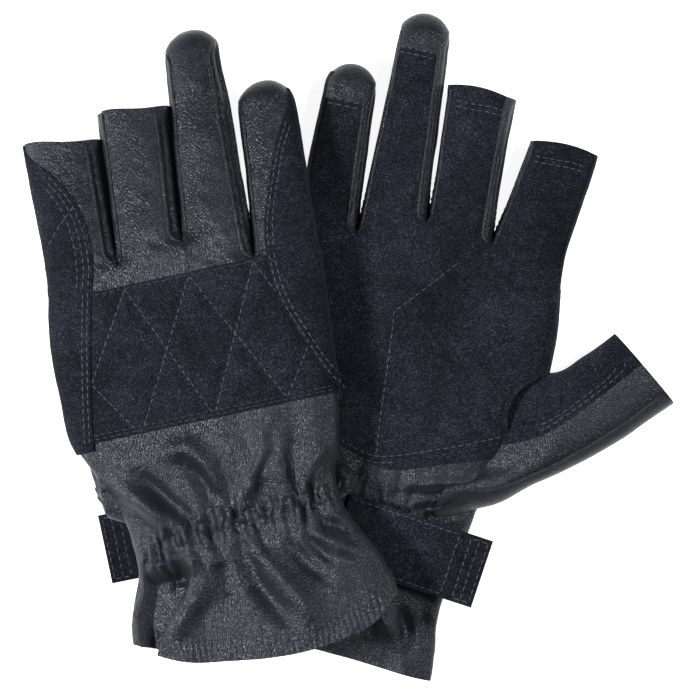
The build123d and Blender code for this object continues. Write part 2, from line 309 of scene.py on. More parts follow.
def hand_to_finger(glove, hand, x, y, name):
    """The hand's height below the crotches, the finger's own above them."""
    i = NAMES.index(name)
    left, right, half = finger_edges(glove, name, y)
    own = arch(np.maximum(x - left, 0), np.maximum(right - x, 0), half, 2.2)
    low, high = CROTCH[max(i - 1, 0)][1], CROTCH[min(i, 2)][1]
    wl = smooth(low - 4.5, low + 1.0, y)
    wr = smooth(high - 4.5, high + 1.0, y)
    s = np.clip((x - left) / np.maximum(right - left, 1e-6), 0, 1)
    return hand + (own - hand) * (wl + (wr - wl) * s)


def inset(glove, name, y, which, side):
    """How far a finger's seam stands in from its edge: a U at the crotch, closing over a closed tip."""
    end, end_left, end_right, _, closed, back, palm, _ = finger_row(glove, name)
    y = np.asarray(y, float)
    k = NAMES.index(name) - 1 + which
    if k in (-1, 3):
        out = np.full(np.shape(y), 0.6)
    else:
        t = np.clip((y - (CROTCH[k][1] - 2.5)) / 4.5, 0, 1)
        full = (back if side > 0 else palm)[which]
        out = full * np.sqrt(np.maximum(1 - (1 - t) ** 2, 0)) + webbing(glove, k, y)
    if closed:
        start = tip_start(end, end_left, end_right)
        out = out * (1 - smooth(start - 3, start + 6, y))
    return out


def bend(glove, p, name):
    """Local points p bent by the finger's droop at rest."""
    hinge = FINGERS[name][7]
    a = -math.radians(glove["droop"]) * smooth(hinge - 9, hinge + 11, p[..., 1])
    y, z = p[..., 1] - hinge, p[..., 2] - HINGE_Z
    out = p.copy()
    out[..., 1] = hinge + y * np.cos(a) - z * np.sin(a)
    out[..., 2] = HINGE_Z + y * np.sin(a) + z * np.cos(a)
    return out


# ---------------------------------------------------------------- materials
def material(name, build):
    m = bpy.data.materials.new(name)
    m.use_nodes = True
    build(m.node_tree, m.node_tree.nodes["Principled BSDF"])
    return m


def node(t, kind, **values):
    n = t.nodes.new("ShaderNode" + kind)
    for k, v in values.items():
        if k in n.inputs:
            n.inputs[k].default_value = v
        else:
            setattr(n, k, v)
    return n


def coordinates(t):
    return node(t, "TexCoord").outputs["Object"]


def texture(t, where, kind, **values):
    n = node(t, "Tex" + kind, **values)
    t.links.new(where, n.inputs["Vector"])
    return n.outputs


def ramp(t, source, stops):
    r = node(t, "ValToRGB")
    e = r.color_ramp.elements
    while len(e) < len(stops):
        e.new(0.5)
    for el, (at, c) in zip(e, stops):
        el.position = at
        el.color = (*c, 1) if isinstance(c, tuple) else (c, c, c, 1)
    t.links.new(source, r.inputs[0])
    return r.outputs[0]


def weigh(t, a, weight, b):
    """a times weight, plus b."""
    m = node(t, "Math", operation="MULTIPLY_ADD")
    m.inputs[1].default_value = weight
    t.links.new(a, m.inputs[0])
    t.links.new(b, m.inputs[2])
    return m.outputs[0]


def multiply(t, a, b, share=1.0):
    m = node(t, "Mix", data_type="RGBA", blend_type="MULTIPLY")
    m.inputs[0].default_value = share
    t.links.new(a, m.inputs[6])
    t.links.new(b, m.inputs[7])
    return m.outputs[2]


def bump(t, b, source, strength, distance=0.0005):
    n = node(t, "Bump", Strength=strength, Distance=distance)
    t.links.new(source, n.inputs["Height"])
    t.links.new(n.outputs[0], b.inputs["Normal"])


def settings(b, values):
    for key, value in values.items():
        b.inputs[key].default_value = value


def tint(colour, share):
    return tuple(c * share for c in colour)


def leather(t, b, base=(0.0072, 0.0090, 0.0140), grain=0.33, rough=(0.33, 0.46)):
    """Grain leather: small pebbles that run a little lengthwise, fine pores, wear-polished highlights, and
    painted shade in the crevices between the pebbles.
    """
    co = coordinates(t)
    warped = node(t, "Mix", data_type="VECTOR")
    warped.inputs[0].default_value = 0.0022
    t.links.new(co, warped.inputs[4])
    t.links.new(texture(t, co, "Noise", Scale=260.0, Detail=2.0)["Color"], warped.inputs[5])
    squeeze = node(t, "Mapping", Scale=(1.35, 0.8, 1.0))
    t.links.new(warped.outputs[1], squeeze.inputs["Vector"])
    cells = texture(t, squeeze.outputs[0], "Voronoi", feature="DISTANCE_TO_EDGE", Scale=1050.0)
    pebble = ramp(t, cells["Distance"], [(0.0, 0.0), (0.22, 0.8), (0.6, 1.0)])
    pores = texture(t, co, "Noise", Scale=2600.0, Detail=3.0)[0]
    soft = texture(t, co, "Noise", Scale=190.0, Detail=5.0, Roughness=0.65)[0]
    bump(t, b, weigh(t, soft, 0.9, weigh(t, pores, 0.35, pebble)), grain)
    patch = texture(t, co, "Noise", Scale=42.0, Detail=4.0)[0]
    shade = ramp(t, patch, [(0.3, tint(base, 0.78)), (0.7, tint(base, 1.3))])
    # painted shade: the crevices between the pebbles are painted darker in the base colour
    dark = multiply(t, shade, ramp(t, pebble, [(0.0, 0.45), (0.7, 1.0)]), 0.55)
    t.links.new(dark, b.inputs["Base Color"])
    t.links.new(ramp(t, patch, [(0.3, rough[0]), (0.75, rough[1])]), b.inputs["Roughness"])
    settings(b, {"Specular IOR Level": 0.4, "Specular Tint": (0.86, 0.92, 1.0, 1),
                 "Sheen Weight": 0.06, "Sheen Roughness": 0.5})


def suede(t, b, base=(0.0090, 0.0110, 0.0165)):
    """Napped suede: matt, blue-black, with lighter specks of raised fibre, and broad random patches painted
    darker as shade and lighter as raised nap.
    """
    co = coordinates(t)
    nap = texture(t, co, "Noise", Scale=1500.0, Detail=4.0, Roughness=0.7)[0]
    blot = texture(t, co, "Noise", Scale=240.0, Detail=4.0, Roughness=0.6)[0]
    wide = texture(t, co, "Noise", Scale=35.0, Detail=3.0)[0]
    speck = ramp(t, nap, [(0.38, tint(base, 0.45)), (0.52, base), (0.70, (0.046, 0.054, 0.074))])
    blotted = multiply(t, speck, ramp(t, blot, [(0.35, 0.72), (0.65, 1.22)]))
    # painted shade in broad random patches where darker, lighter raised nap where lighter
    nap_and_painted_shade = multiply(t, blotted, ramp(t, wide, [(0.3, 0.62), (0.7, 1.4)]))
    t.links.new(nap_and_painted_shade, b.inputs["Base Color"])
    settings(b, {"Roughness": 0.95, "Specular IOR Level": 0.12, "Sheen Weight": 0.06,
                 "Sheen Roughness": 0.45, "Sheen Tint": (0.62, 0.68, 0.85, 1)})
    bump(t, b, weigh(t, blot, 1.2, nap), 0.55)


def thread(t, b, colour=(0.085, 0.098, 0.13)):
    co = coordinates(t)
    tone = texture(t, co, "Noise", Scale=900.0, Detail=2.0)[0]
    t.links.new(ramp(t, tone, [(0.35, tint(colour, 0.45)), (0.7, colour)]), b.inputs["Base Color"])
    settings(b, {"Roughness": 0.6})
    bump(t, b, texture(t, co, "Wave", Scale=1400.0, Distortion=1.0)[0], 0.4, 0.0001)


def plain(colour, rough, scale, strength):
    def build(t, b):
        n = texture(t, coordinates(t), "Noise", Scale=scale, Detail=3.0)[0]
        t.links.new(ramp(t, n, [(0.35, tint(colour, 0.6)), (0.7, colour)]), b.inputs["Base Color"])
        settings(b, {"Roughness": rough})
        bump(t, b, n, strength, 0.0004)
    return build


LEATHER = material("grain_leather", leather)
SUEDE = material("suede", suede)
THREAD = material("thread", thread)
DARK_THREAD = material("thread_dark", lambda t, b: thread(t, b, (0.035, 0.038, 0.046)))
FOAM = material("foam", plain((0.05, 0.05, 0.055), 0.95, 1400.0, 0.6))
ELASTIC_MAT = material("elastic", plain((0.035, 0.035, 0.04), 0.8, 900.0, 0.5))
HOOKS = material("hook_and_loop", plain((0.02, 0.02, 0.023), 0.9, 2400.0, 1.0))


# ---------------------------------------------------------------- mesh builders
def mesh(name, verts, faces, mat, smooth_shade=True):
    me = bpy.data.meshes.new(name)
    me.from_pydata([tuple(v) for v in verts], [], [tuple(int(i) for i in f) for f in faces])
    me.update()
    if smooth_shade:
        me.polygons.foreach_set("use_smooth", [True] * len(me.polygons))
    me.materials.append(mat)
    o = bpy.data.objects.new(name, me)
    bpy.context.scene.collection.objects.link(o)
    return o


def grid_faces(count, cols, start=0, flip=False):
    i = np.arange(count - 1)[:, None] * cols + np.arange(cols - 1)[None, :] + start
    quad = np.stack([i, i + 1, i + cols + 1, i + cols], axis=-1).reshape(-1, 4)
    return quad[:, ::-1] if flip else quad


def sheets(name, grids, mat, thick=HIDE):
    """One object from grids of row-frame points whose normals face out, thickened inwards."""
    verts, faces, start = [], [], 0
    for g, flip in grids:
        count, cols = g.shape[:2]
        verts.append(g.reshape(-1, 3))
        faces.append(grid_faces(count, cols, start, flip))
        start += count * cols
    o = mesh(name, np.concatenate(verts), np.concatenate(faces), mat)
    m = o.modifiers.new("thickness", "SOLIDIFY")
    m.thickness = thick * MM
    m.offset = -1
    m.use_rim = True
    bpy.context.view_layer.objects.active = o
    with bpy.context.temp_override(object=o):
        bpy.ops.object.modifier_apply(modifier="thickness")
    o.data.set_sharp_from_angle(angle=math.radians(50))
    return o


def cover(glove, label, cad_node, grids, mat, thick=HIDE):
    """A panel that is seen in place of the glove's CAD node."""
    o = sheets(f"{glove['name']}_{label}", grids, mat, thick)
    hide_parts(f"{glove['name']}_{cad_node}")
    return o


def add_tube(verts, faces, centres, across, up, radii, ring, squash=1.0):
    """Adds a tube round a row of centres, closed at both ends."""
    start, last = len(verts), len(centres) - 1
    for c, s, u, r in zip(centres, across, up, radii):
        for t in np.arange(ring) / ring * 2 * math.pi:
            verts.append(c + s * math.cos(t) * r + u * math.sin(t) * r * squash)
    for j in range(last):
        for q in range(ring):
            a, b = start + j * ring + q, start + j * ring + (q + 1) % ring
            faces.append((a, b, b + ring, a + ring))
    faces.append(tuple(start + q for q in reversed(range(ring))))
    faces.append(tuple(start + last * ring + q for q in range(ring)))


STITCH, STITCH_GAP, THREAD_RADIUS = 2.1, 0.9, 0.22


def stitches(name, lines, mat):
    """Small capsule stitches along lines, each (row-frame points (n, 3), unit normals (n, 3))."""
    verts, faces = [], []
    steps = 5
    arc = np.sin(np.linspace(0.0, math.pi, steps))
    for pts, nor in lines:
        run = np.concatenate([[0], np.cumsum(np.linalg.norm(np.diff(pts, axis=0), axis=1))])
        pitch = (STITCH + STITCH_GAP) * MM
        count = max(1, int(run[-1] / pitch))
        for k in range(count):
            jitter = rng.uniform(-0.12, 0.12) * MM
            a = (k + 0.12) * run[-1] / count + jitter
            b = a + STITCH * MM * run[-1] / count / pitch
            at = np.linspace(a, b, steps)
            p = np.stack([np.interp(at, run, pts[:, j]) for j in range(3)], axis=-1)
            n = np.stack([np.interp(at, run, nor[:, j]) for j in range(3)], axis=-1)
            n /= np.linalg.norm(n, axis=-1, keepdims=True)
            d = p[-1] - p[0]
            d /= max(np.linalg.norm(d), 1e-9)
            side = np.cross(d, n)
            side /= np.linalg.norm(side, axis=-1, keepdims=True)
            r = THREAD_RADIUS * MM * (0.55 + 0.45 * arc) * rng.uniform(0.9, 1.1)
            lift = (0.22 * arc - 0.1) * THREAD_RADIUS * 2 * MM
            skew = rng.uniform(-0.1, 0.1) * MM
            c = p + n * lift[:, None] + side * (np.linspace(-1, 1, steps) * skew)[:, None]
            add_tube(verts, faces, c, side, n, r, 6)
    return mesh(name, verts, faces, mat)


def rolls(name, lines, radius):
    """Raised rolled edges of leather along lines of row-frame points with their normals."""
    verts, faces = [], []
    for pts, nor in lines:
        d = np.gradient(pts, axis=0)
        d /= np.maximum(np.linalg.norm(d, axis=-1, keepdims=True), 1e-12)
        side = np.cross(d, nor)
        side /= np.maximum(np.linalg.norm(side, axis=-1, keepdims=True), 1e-12)
        count = len(pts)
        taper = np.minimum(1.0, np.minimum(np.arange(count) + 1, count - np.arange(count)) / 3.0)
        r = radius * MM * taper * (1 + 0.12 * noise(pts / MM, 4.0, 5))
        add_tube(verts, faces, pts, side, nor, r, 8, squash=0.7)
    return mesh(name, verts, faces, LEATHER)


# ---------------------------------------------------------------- creases
ELASTIC = [(-60, -8.0), (-39, -6.2), (-23.5, -1.4), (-1, 1.4), (17, 2.6), (35, 3.4), (60, 3.4)]
# height (ridge over 0, valley under 0), half width, line; on the back of the upper glove's cuff
BACK_FOLDS = [
    (-2.2, 3.4, [(-34, 27), (-25, 14), (-17, 3)]),
    (1.8, 4.2, [(-42, 24), (-31, 12), (-24, 4)]),
    (1.6, 4.4, [(-24, 34), (-13, 34), (-6, 24), (-3, 14)]),
    (-1.6, 3.2, [(-14, 27), (-9, 18), (-6, 8)]),
    (-1.6, 3.0, [(-3, 27), (0, 16), (0, 6)]),
    (1.5, 3.4, [(5, 10), (13, 19), (21, 28)]),
    (-1.7, 2.6, [(12, 8), (13, 17), (20, 26), (21, 33)]),
    (-1.5, 2.6, [(25, 8), (27, 18), (28, 29)]),
    (1.5, 3.0, [(31, 9), (36, 18), (40, 25)]),
    (-1.3, 2.4, [(30, 4), (34, 13), (38, 19)]),
    (-1.4, 2.4, [(37, 6), (41, 14), (45, 20)]),
    (1.6, 4.6, [(-12, -10), (-17, -20), (-25, -28), (-34, -38)]),
    (-1.6, 2.8, [(-26, -9), (-28, -19)]),
    (1.7, 3.4, [(-20, -10), (-24, -19)]),
    (-1.5, 3.2, [(-10, -13), (-9, -27)]),
    (-1.9, 3.4, [(0, -10), (3, -24), (9, -36), (12, -42)]),
    (1.9, 4.2, [(7, -12), (13, -24), (20, -36), (23, -43)]),
    (-1.4, 3.0, [(17, -9), (23, -19), (30, -28)]),
    (-1.2, 2.4, [(27, -11), (33, -21)]),
    (1.3, 3.0, [(29, -9), (37, -16), (44, -21)]),
    (-1.0, 2.2, [(34, -6), (42, -11)]),
]
# edge of the open side vent: x at y
VENT = [(-60, -45.0), (-50, -43.0), (-43, -41.5), (-36, -37.0), (-28, -30.0), (-19, -23.0), (-9, -19.0),
        (0, -17.0)]
PALM_FOLDS = [
    (-1.2, 2.6, [(-42, 12), (-28, 9), (-12, 5)]),
    (1.0, 3.0, [(-44, 17), (-30, 13), (-16, 9)]),
    (-1.3, 2.4, [(-44, 4), (-33, 5), (-18, -1)]),
    (-1.6, 3.0, [(-22, -40), (-27, -48), (-29, -56)]),
    (1.1, 3.0, [(-14, -42), (-20, -52)]),
    (-1.2, 2.6, [(-33, -40), (-36, -50)]),
]
VENT_DEPTH = 7.5


def gathers(glove, x, y, v):
    """Gathers pulled up by the elastic, at a distance v from it: wide folds, and tight ones close to it."""
    s = glove["seed"]
    warp = 3.2 * noise(flat3(x, y * 0.6), 11.0, s + 3)
    wide = np.abs(np.sin(math.pi * (x + warp + 0.10 * v) / 8.6)) - 0.64
    tight = np.abs(np.sin(math.pi * (x + 1.4 * noise(flat3(x, y), 5.0, s + 4)) / 3.9)) - 0.64
    pull = np.exp(-((v / 15.0) ** 2)) * 1.25 * wide + np.exp(-((v / 6.0) ** 2)) * 1.0 * tight
    return pull - 0.25 * np.exp(-(((v - 2.6) / 1.0) ** 2)) - 0.25 * np.exp(-(((v + 2.6) / 1.0) ** 2))


def drawn_folds(x, y, side):
    """The cuff's single folds, on the back and on the palm side."""
    out = 0.0
    for folds, want in ((BACK_FOLDS, 1), (PALM_FOLDS, -1)):
        for amount, width, line in folds:
            d, share = to_line(x, y, line)
            fade = np.sin(math.pi * np.clip(share * 0.94 + 0.03, 0, 1)) ** 0.5
            out = out + np.where(side * want > 0, amount * np.exp(-((d / width) ** 2)) * fade, 0.0)
    return out


def cuff_creases(glove, x, y, side):
    """Gathers, folds, crinkles and puckered hem of the cuff."""
    s = glove["seed"]
    back = glove["name"] == "upper"
    v = y - curve(ELASTIC, x)
    gain = np.where(side > 0, 1.0 if back else 0.6, 0.45)
    pull, folds = gathers(glove, x, y, v), drawn_folds(x, y, side)
    roll = 1.1 * noise(flat3(x, y * 0.45), 10.0, s + 5)
    crinkle = np.exp(-((v / 11.0) ** 2)) * (0.5 - np.abs(noise(flat3(x, y * 0.62 + 0.3 * x), 3.4, s + 6))) * 1.1
    hem = y - curve(glove["hem"], x)
    pucker = 0.22 * smooth(11, 7.5, hem) * np.sin(2.7 * x + 1.5 * noise(flat3(x, y), 6.0, s + 7))
    if back:
        edge = curve(VENT, y)
        sink = VENT_DEPTH * smooth(edge + 0.5, edge - 1.8, x) * smooth(-9, -17, y) * smooth(-50.5, -45.5, x)
        roll = roll - np.where(side > 0, sink, 0.0)
    roll = roll + np.where(side > 0, crinkle + pucker, 0.4 * crinkle)
    left, right = edges(glove, y)
    calm = smooth(0.0, 7.0, np.minimum(x - left, right - x)) * 0.75 + 0.25
    return (1.6 * gain * pull + 1.9 * folds + roll), calm


def crease(glove, x, y, side, texture):
    """How far the leather stands out of or sinks into the smooth shape, in millimetres."""
    p = flat3(x, y, side * 3.0)
    s = glove["seed"]
    out = 0.42 * noise(p, 15.0, s) + 0.20 * noise(p, 6.5, s + 1) + 0.08 * noise(p, 2.6, s + 2)
    knuckles = smooth(92, 101, y) * smooth(122, 110, y)
    slant = flat3(x * 0.45 + y * 0.9, (y - x) * 0.25)
    out = out + np.where(side > 0, knuckles * 0.55 * (0.35 - np.abs(noise(slant, 2.6, s + 8))), 0.0)
    out = out * texture
    wrist = smooth(56, 40, y)
    if np.any(wrist > 0):
        deep, calm = cuff_creases(glove, x, y, side)
        out = out + wrist * deep * calm
    if glove["name"] == "lower":  # its back lies on the table, pressed flat
        out = np.where(side > 0, 0.35 * out - 0.2, out)
    return out


# stitch lines of the quilting
QUILT = [
    [(-24, 100), (0, 45)], [(2, 100), (30, 45)], [(2, 100), (-28, 45)], [(28, 100), (1, 45)],
    [(-24, 100), (-45, 66)], [(-45, 66), (-31, 45)], [(28, 100), (44, 66)], [(44, 66), (30, 45)],
]


def panel(glove, x, y, side, finger=None, lift=0.0, texture=1.0, extra=None, local=False):
    """A panel's grid in the row frame, and whether its faces need turning to look outwards."""
    x, y, side = (a.astype(float) for a in np.broadcast_arrays(x, y, side))
    p = flat3(x, y, height(glove, x, y, finger) * side)
    n, flip = outward(p, side)
    d = crease(glove, x, y, side, texture) + lift
    if extra is not None:
        d = d + extra
    p = p + n * d[..., None]
    p[..., 2] += table(glove["rise"], y)
    if finger:
        p = bend(glove, p, finger)
    return (p if local else to_row(glove, p)), flip


def trace(glove, line, side, finger=None, lift=0.0, texture=1.0, extra=None, step=1.2):
    """Row-frame points and normals along a line of (x, y) on a panel."""
    gx, gy = ribbon(*resample(line, step, 4), 0.35)
    more = None if extra is None else extra(gx, gy)
    return middle_line(glove, *panel(glove, gx, gy, side, finger, lift, texture, more, local=True))


def lane(fx, ys):
    """A line of (x, y) from a function of y."""
    return [(float(fx(np.array(v))), float(v)) for v in ys]


# seams on the back between the leather and the suede side wraps: x at y
INDEX_SEAM = [(40, -50.0), (44, -49.2), (72, -44.0), (102, -37.2), (112, -34.6), (121, -34.2),
              (130, -35.4), (137, -37.6), (148, -44.0), (159, -52.6), (175, -56.0)]
LITTLE_SEAM = [(40, 50.6), (46, 48.4), (58, 43.6), (70, 39.2), (80, 35.6), (88, 33.9), (104, 33.7),
               (112, 35.2), (120, 37.8), (139, 44.6), (158, 53.0), (172, 56.0)]
# foot of the palm suede, y at x; and its edge round the thumb's root, x at y
PALM_FOOT = [(-60, 41.0), (-50, 34.6), (-40, 29.4), (-29, 24.4), (-18, 19.8), (-8, 15.8), (2, 13.4),
             (10, 14.6), (18, 17.4), (45, 21.0)]
THUMB_HOLE = [(20, -50.0), (30, -50.8), (40, -47.6), (48, -46.4), (57, -49.6), (64, -57.0), (67, -60.0)]
EDGE = 1.5  # the palm seam stands this far in from the outline


def seam_left(glove, y):
    return np.maximum(curve(INDEX_SEAM, y), edges(glove, y)[0] + 0.6)


def seam_right(glove, y):
    return np.minimum(curve(LITTLE_SEAM, y), edges(glove, y)[1] - 0.6)


def around(edge, reach_back, reach_palm, direction):
    """x and side across a strip that runs from the back, round an edge, to the palm.

    direction is +1 on the left edge and -1 on the right one.
    """
    q = np.linspace(1, -1, 31)[None, :]
    x = edge + direction * np.where(q > 0, reach_back, reach_palm) * np.abs(q) ** 2.0
    return x, np.where(q >= 0, 1.0, -1.0)


def rows(a, b, step=1.05, tip=False):
    """y of a panel's rows from a to b, close together near b at a round tip."""
    t = np.linspace(0, 1, max(4, int(abs(b - a) / step)))
    if tip:
        t = 1 - (1 - t) ** 1.5
    return (a + (b - a) * t)[:, None]


def attach(o, glove, finger=None, body="hand"):
    """Rides one body; a finger's piece is only baked in place."""
    g = glove["name"]
    if finger:
        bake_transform(o)
    else:
        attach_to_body(o, f"{g}_{body}")


# ---------------------------------------------------------------- fingers
CAP_DEPTH = 15.0  # a closed finger's leather cap reaches this far down its palm side
WRAP_END = 164.5  # the little finger's suede wrap ends here


def tucked(y):
    return -0.08 * smooth(106.0, 102.0, y)


def crotch_beside(name, which):
    """y of the crotch on a finger's left (which 0) or right (1); None at the hand's outside."""
    k = NAMES.index(name) - 1 + which
    return CROTCH[k][1] if 0 <= k < 3 else None


def finger_span(glove, name, y, side):
    """x of the left and right seam on one face of a finger."""
    left, right, _ = finger_edges(glove, name, y)
    return left + inset(glove, name, y, 0, side), right - inset(glove, name, y, 1, side)


def finger_back(glove, name, across, closed, end, slope):
    y = rows(HAND_END - TUCK, end, tip=closed)
    a, b = finger_span(glove, name, y, 1)
    if name == "index":
        a = np.minimum(seam_left(glove, y), b - 1)
    if name == "little":
        right = finger_edges(glove, name, y)[1]
        b = np.maximum(np.minimum(curve(LITTLE_SEAM, y), right - 0.3 * smooth(164, 158, y)), a + 0.01)
    wave = 0.0 if closed else (0.5 * np.sin(across * 5 + 1) - slope * across) * smooth(end - 9, end, y)
    return panel(glove, a + (b - a) * across, y + wave, 1, name, lift=tucked(y))


def finger_strip(glove, name, which, far):
    """Leather strip down the side of a finger, wrinkled near the crotch and grooved along its middle."""
    i = NAMES.index(name)
    crotch = crotch_beside(name, which)
    y = rows(crotch - 2.4, far)
    left, right, _ = finger_edges(glove, name, y)
    back, palm = inset(glove, name, y, which, 1), inset(glove, name, y, which, -1)
    x, side = around(right if which else left, back, palm, -1 if which else 1)
    x = np.clip(x, left, right)
    wrinkle = 0.3 * np.sin(y * 2.3 + 2 * noise(flat3(x, y), 5.0, i)) * smooth(crotch + 22, crotch + 2, y)
    q = np.abs(np.linspace(1, -1, x.shape[1]))[None, :]
    groove = 1.0 * np.exp(-(((1 - q) / 0.10) ** 2)) + 1.9 * smooth(0.0, 0.22, q) * smooth(0.72, 0.34, q)
    wrinkle = wrinkle - groove * smooth(far, far - 8, y)
    return panel(glove, x, y, side, name, lift=-0.35, extra=wrinkle * (1 if which else 0.5))


def finger_wrap(glove, name, which, y):
    """Suede round the hand's outside, on the index or the little finger."""
    left, right, _ = finger_edges(glove, name, y)
    if which:
        edge, seam = right, np.maximum(np.minimum(curve(LITTLE_SEAM, y), right - 0.3), left + 0.3)
    else:
        edge, seam = left, seam_left(glove, y)
    x, side = around(edge, np.abs(seam - edge), EDGE * 0.8, -1 if which else 1)
    return panel(glove, np.clip(x, left, right), y, side, name, lift=0.55 + tucked(y), texture=0.7)


def rolled_seams(glove, name, closed, end, width, slope):
    """Lines of the rolled seams on both faces, with their U at each crotch."""
    lines = []
    for side in (1, -1):
        for which in (0, 1):
            crotch = crotch_beside(name, which)
            if crotch is None:
                continue
            top = end - width * 0.42 if closed else end - 0.6 - slope * which
            y = crotch - 2.4 + (top - crotch + 2.4) * np.linspace(0, 1, 70) ** 1.6
            left, right, _ = finger_edges(glove, name, y)
            ins = inset(glove, name, y, which, side)
            x = right - ins if which else left + ins
            lines.append(trace(glove, list(zip(x, y)), side, name, lift=0.05, step=0.8))
    return lines


def finger_stitches(glove, name, closed, end):
    """Lines across the palm side near the mouth or the cap, and along the suede wraps."""
    lines = []
    in_left, in_both, wave, backs = (3, 5, 0.0, (16.4, 18.4)) if closed else (4, 8, 0.3, (6.0, 8.2))
    for back in backs:
        left, right = (float(e) for e in finger_edges(glove, name, end - back)[:2])
        line = [(left + in_left + (right - left - in_both) * f, end - back + wave * math.sin(f * 6))
                for f in np.linspace(0, 1, 12)]
        lines.append(trace(glove, line, -1, name, lift=0.15, texture=0.7))
    wrap = dict(finger=name, lift=0.65, texture=0.7)
    if name == "index":
        for off in (1.6, 3.8, 6.4):
            line = lane(lambda y: np.maximum(seam_left(glove, y) - off, edges(glove, y)[0] + 1.0),
                        np.linspace(HAND_END + 1, 150 - off, 40))
            lines.append(trace(glove, line, 1, **wrap))
        lines.append(trace(glove, [(-37.5, 134), (-43, 129), (-50.5, 121.6)], 1, **wrap))
    if name == "little":
        for off in (1.4, 3.4):
            line = lane(lambda y: curve(LITTLE_SEAM, y) + off, np.linspace(HAND_END + 1, 152 - off, 40))
            lines.append(trace(glove, line, 1, **wrap))
    return lines


def make_finger(glove, name):
    g = f"{glove['name']}_{name}"
    end, end_left, end_right, _, closed, *_ = finger_row(glove, name)
    width = end_right - end_left
    slope = glove["slope"].get(name, 0.0)
    base = HAND_END - TUCK
    y = rows(base, end, tip=closed)
    left, right, _ = finger_edges(glove, name, y)
    across = np.linspace(0, 1, max(10, int((right - left).max() / 1.0)))[None, :]
    made = [cover(glove, f"{name}_back_leather", f"{name}_back",
                  [finger_back(glove, name, across, closed, end, slope)], LEATHER)]

    stop = end - CAP_DEPTH if closed else end
    y = rows(base, stop)
    wave = 0.0 if closed else (1.1 * np.sin(across * math.pi) - slope * across) * smooth(end - 9, end, y)
    lift = 0.55 * smooth(112, 103, y) + tucked(y)
    a, b = finger_span(glove, name, y, -1)
    palm = panel(glove, a + (b - a) * across, y + wave, -1, name, lift=lift, texture=0.7)
    made.append(cover(glove, f"{name}_palm_suede", f"{name}_palm", [palm], SUEDE))
    if closed:
        y = rows(stop - 1.2, end, tip=True)
        a, b = finger_span(glove, name, y, -1)
        cap = panel(glove, a + (b - a) * across, y, -1, name, lift=0.5 * smooth(end - 3, end - 9, y))
        made.append(cover(glove, f"{name}_tip_cap_leather", f"{name}_tip_cap", [cap], LEATHER, 1.0))

    strips, wraps = [], []
    for which in (0, 1):
        if crotch_beside(name, which) is None:
            wraps.append(finger_wrap(glove, name, which, rows(base, WRAP_END if closed else end)))
        else:
            far = end - width * 0.5 + 4.5 if closed else end - slope * which
            strips.append(finger_strip(glove, name, which, far))
    made.append(cover(glove, f"{name}_fourchettes", f"{name}_sides", strips, LEATHER, 1.1))
    if wraps:
        made.append(sheets(f"{g}_side_wrap_suede", wraps, SUEDE))
    made.append(rolls(f"{g}_rolled_seams", rolled_seams(glove, name, closed, end, width, slope), 0.85))
    made.append(stitches(f"{g}_stitches", finger_stitches(glove, name, closed, end), THREAD))
    for o in made:
        attach(o, glove, name)


# ---------------------------------------------------------------- hand and cuff
HEM_DEPTH = 7.5
HEM_LAP = 0.2
CUFF_Y = -50.0  # the cuff's width is taken here for its hem line
PALM_SHARES = np.linspace(0, 1, 96)[None, :]


def close_at_ends(count):
    """Shares from 0 to 1, close together near both ends."""
    return (1 - np.cos(np.linspace(0, math.pi, count))) / 2


def quilting(x, y):
    """Puff of the patch: high between the stitch lines, drawn down along them and round its border."""
    near = np.full(np.shape(x), 1e9)
    for line in QUILT:
        near = np.minimum(near, to_line(x, y, line)[0])
    sides = np.minimum(x - curve(INDEX_SEAM, y), curve(LITTLE_SEAM, y) - x)
    border = np.maximum(np.minimum(sides, np.minimum(PATCH_TOP - y, y - PATCH_FOOT)), 0)
    puff = 1.25 * (1 - np.exp(-((near / 2.6) ** 2))) * (1 - np.exp(-border / 3.0))
    return 0.5 + puff + 0.5 * (1 - np.exp(-border / 4.0))


def hand_x(glove, y, count, grow):
    """x across the back of the hand, between the seams moved apart by grow."""
    a, b = seam_left(glove, y) - grow, seam_right(glove, y) + grow
    return a + (b - a) * np.linspace(0, 1, count)[None, :]


def make_back(glove):
    """Leather under the patch and up to the fingers, foam, quilted patch, and suede round both sides."""
    y = rows(PATCH_FOOT + 1, HAND_END)
    under = -0.4 * smooth(PATCH_TOP - 2, PATCH_TOP - 6, y)
    leather_grid = panel(glove, hand_x(glove, y, 84, 0.0), y, 1, lift=under)
    y = rows(PATCH_FOOT + 4, PATCH_TOP - 4, 2.0)
    foam_grid = panel(glove, hand_x(glove, y, 40, -4.0), y, 1, lift=0.05)
    y = rows(PATCH_FOOT, PATCH_TOP, 0.8)
    x = hand_x(glove, y, 108, 1.5)
    patch_grid = panel(glove, x, y, 1, texture=0.8, extra=quilting(x, y))
    made = [cover(glove, "back_leather_panel", "back_panel", [leather_grid], LEATHER),
            cover(glove, "foam_layer", "foam_pad", [foam_grid], FOAM, 0.8),
            cover(glove, "quilted_back_patch", "quilted_patch", [patch_grid], SUEDE, 1.0)]
    y = rows(PATCH_FOOT - 3, HAND_END)
    raised = 0.55 + 0.75 * smooth(103, 97, y)
    grids = []
    for edge, seam, direction in zip(edges(glove, y), (seam_left(glove, y), seam_right(glove, y)), (1, -1)):
        x, side = around(edge, np.abs(seam - edge), EDGE + 0.5, direction)
        grids.append(panel(glove, x, y, side, lift=np.where(side > 0, raised, 0.55), texture=0.7))
    made.append(cover(glove, "side_wraps_suede", "side_wraps", grids, SUEDE))
    return made


def cuff_x(glove, share):
    """x at shares across the cuff."""
    left, right = (float(e) for e in edges(glove, CUFF_Y))
    return left + (right - left) * share


